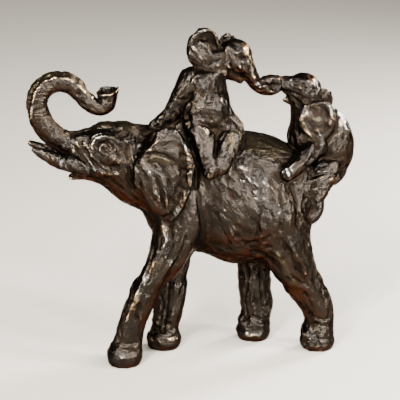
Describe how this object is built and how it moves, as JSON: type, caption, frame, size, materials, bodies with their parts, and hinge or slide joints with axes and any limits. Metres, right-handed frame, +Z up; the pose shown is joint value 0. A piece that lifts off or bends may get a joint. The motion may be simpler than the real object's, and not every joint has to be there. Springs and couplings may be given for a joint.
{
  "type": "elephant family sculpture",
  "caption": "Bronze casting of a walking mother elephant with her trunk raised, one calf sitting on her back and one climbing up behind, their trunks joined.",
  "frame": {"origin": "middle of the casting's outline seen from above, at the height of its four soles", "axes": "+X runs from the mother's head to the climbing calf, +Y toward her right side, +Z up"},
  "size_m": [0.332, 0.1142, 0.3361],
  "materials": {
    "bronze": "dark brown patina on cast bronze, waxed to a gloss, rubbed golden on the raised edges"
  },
  "bodies": {
    "root": {"elephant_family": "bronze"}
  },
  "joints": []
}
